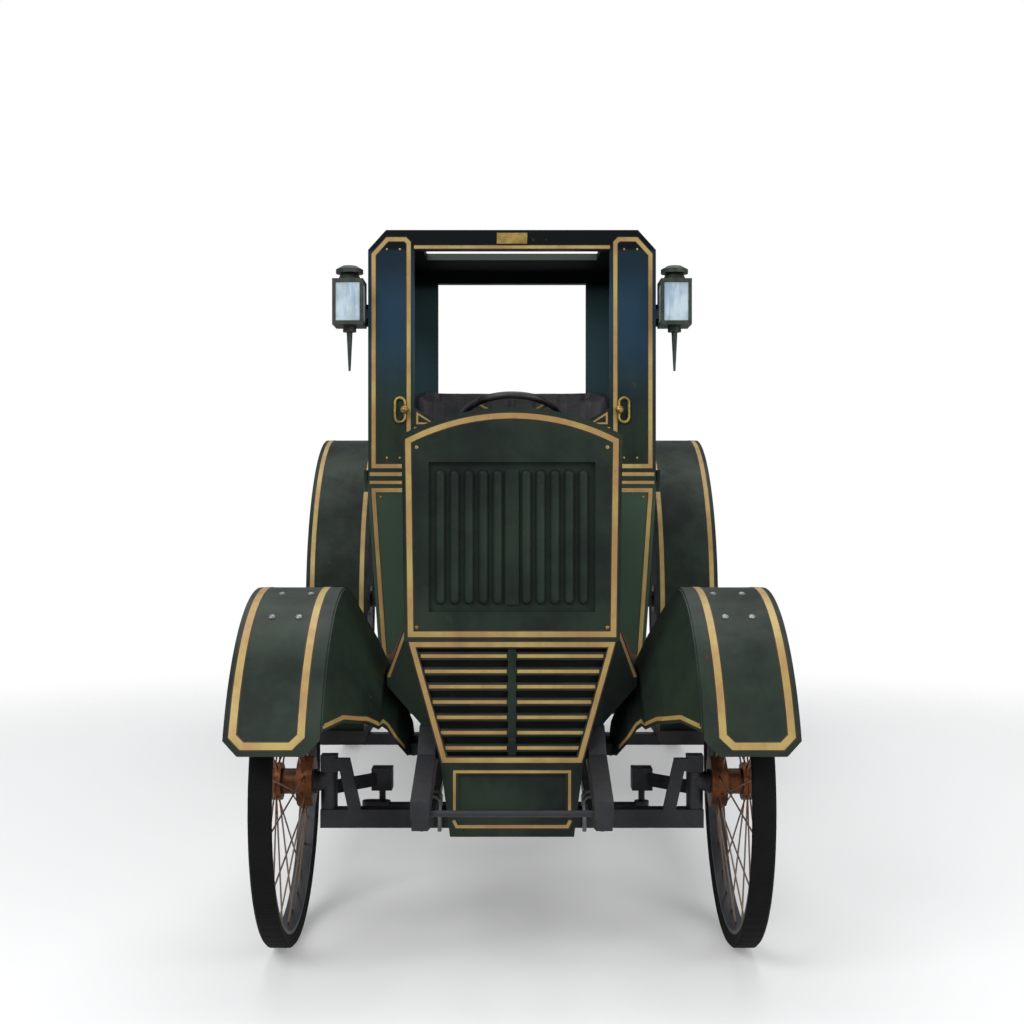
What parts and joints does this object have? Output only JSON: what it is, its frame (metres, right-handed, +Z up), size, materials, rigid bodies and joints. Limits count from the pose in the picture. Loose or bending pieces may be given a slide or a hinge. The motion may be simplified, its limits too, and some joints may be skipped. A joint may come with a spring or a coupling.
{
  "type": "vintage car",
  "caption": "Tall narrow motor coupe in dark green with gold lining, small wire front wheels, large rear wheels, ribbed radiator and box coach lamps; it steers, rolls and opens.",
  "frame": {"origin": "centre of the bounding box on the ground", "axes": "+X is the car's left, +Y runs from the radiator to the tail, +Z is up"},
  "size_m": [1.632, 4.036, 2.042],
  "materials": {
    "body_paint": "worn dark green coach paint",
    "chassis_iron": "black paint on iron",
    "hub_copper": "copper brown hubs and wire",
    "tyre": "dark rubber",
    "seat_hide": "black leather",
    "brass": "aged brass",
    "lamp_glass": "pale blue lamp glass",
    "board": "ribbed mat"
  },
  "bodies": {
    "chassis": {"frame": "chassis_iron", "cross_members": "chassis_iron", "outriggers": "chassis_iron", "front_springs": "chassis_iron", "rear_springs": "chassis_iron", "front_axle": "chassis_iron", "rear_axle": "chassis_iron", "driveline": "chassis_iron", "engine": "chassis_iron", "radiator": "body_paint", "lower_grille": "body_paint", "sump_tray": "body_paint", "bonnet_sills": "body_paint", "scuttle": "body_paint", "cab_front": "body_paint", "cab_side_left": "body_paint", "cab_side_right": "body_paint", "cab_rear": "body_paint", "cab_roof": "body_paint", "cab_floor": "chassis_iron", "seat_cushion": "seat_hide", "seat_back": "seat_hide", "boot": "body_paint", "front_fender_left": "body_paint", "front_fender_right": "body_paint", "rear_fender_left": "body_paint", "rear_fender_right": "body_paint", "running_boards": "board", "lamps": "chassis_iron", "lamp_glass": "lamp_glass", "brass_fittings": "brass", "steering_column": "chassis_iron"},
    "left_knuckle": {"knuckle_left": "chassis_iron"},
    "right_knuckle": {"knuckle_right": "chassis_iron"},
    "track_rod": {"track_rod": "chassis_iron"},
    "front_left_wheel": {"front_wheel_left": "hub_copper", "front_tyre_left": "tyre"},
    "front_right_wheel": {"front_wheel_right": "hub_copper", "front_tyre_right": "tyre"},
    "rear_left_wheel": {"rear_wheel_left": "hub_copper", "rear_tyre_left": "tyre"},
    "rear_right_wheel": {"rear_wheel_right": "hub_copper", "rear_tyre_right": "tyre"},
    "steering_wheel": {"steering_wheel": "chassis_iron"},
    "left_door": {"door_left": "body_paint"},
    "right_door": {"door_right": "body_paint"},
    "left_bonnet": {"bonnet_left": "body_paint"},
    "right_bonnet": {"bonnet_right": "body_paint"},
    "boot_lid": {"boot_lid": "body_paint"}
  },
  "joints": [
    {"name": "steer_left", "type": "hinge", "parent": "chassis", "child": "left_knuckle", "pos_m": [0.435, -1.57715, 0.38], "axis": [0, 0, 1], "range_deg": [-22, 22]},
    {"name": "steer_right", "type": "hinge", "parent": "chassis", "child": "right_knuckle", "pos_m": [-0.435, -1.57715, 0.38], "axis": [0, 0, 1], "range_deg": [-22, 22]},
    {"name": "track_rod_pivot", "type": "hinge", "parent": "left_knuckle", "child": "track_rod", "pos_m": [0.32, -1.45215, 0.295], "axis": [0, 0, 1], "range_deg": [-29.5, 29.5]},
    {"name": "steering_wheel_turn", "type": "hinge", "parent": "chassis", "child": "steering_wheel", "pos_m": [0, 0.42285, 1.36], "axis": [0, 0.4695, 0.8829], "range_deg": [-132, 132]},
    {"name": "front_left_spin", "type": "hinge", "parent": "left_knuckle", "child": "front_left_wheel", "pos_m": [0.534, -1.57715, 0.38], "axis": [1, 0, 0], "continuous": true},
    {"name": "front_right_spin", "type": "hinge", "parent": "right_knuckle", "child": "front_right_wheel", "pos_m": [-0.534, -1.57715, 0.38], "axis": [1, 0, 0], "continuous": true},
    {"name": "rear_left_spin", "type": "hinge", "parent": "chassis", "child": "rear_left_wheel", "pos_m": [0.706, 1.34285, 0.633], "axis": [1, 0, 0], "continuous": true},
    {"name": "rear_right_spin", "type": "hinge", "parent": "chassis", "child": "rear_right_wheel", "pos_m": [-0.706, 1.34285, 0.633], "axis": [1, 0, 0], "continuous": true},
    {"name": "door_left_hinge", "type": "hinge", "parent": "chassis", "child": "left_door", "pos_m": [0.535, 0.23885, 1.135], "axis": [0, 0, -1], "range_deg": [0, 70]},
    {"name": "door_right_hinge", "type": "hinge", "parent": "chassis", "child": "right_door", "pos_m": [-0.535, 0.23885, 1.135], "axis": [0, 0, 1], "range_deg": [0, 70]},
    {"name": "bonnet_left_hinge", "type": "hinge", "parent": "chassis", "child": "left_bonnet", "pos_m": [0, -0.97715, 1.254], "axis": [0, -1, 0], "range_deg": [0, 60]},
    {"name": "bonnet_right_hinge", "type": "hinge", "parent": "chassis", "child": "right_bonnet", "pos_m": [0, -0.97715, 1.254], "axis": [0, 1, 0], "range_deg": [0, 60]},
    {"name": "boot_lid_hinge", "type": "hinge", "parent": "chassis", "child": "boot_lid", "pos_m": [0, 1.02585, 1.18], "axis": [1, 0, 0], "range_deg": [0, 65]}
  ],
  "couplings": [
    {"joint": "steer_right", "follows": "steer_left", "ratio": 1},
    {"joint": "track_rod_pivot", "follows": "steer_left", "ratio": -1.34},
    {"joint": "steering_wheel_turn", "follows": "steer_left", "ratio": 6}
  ]
}
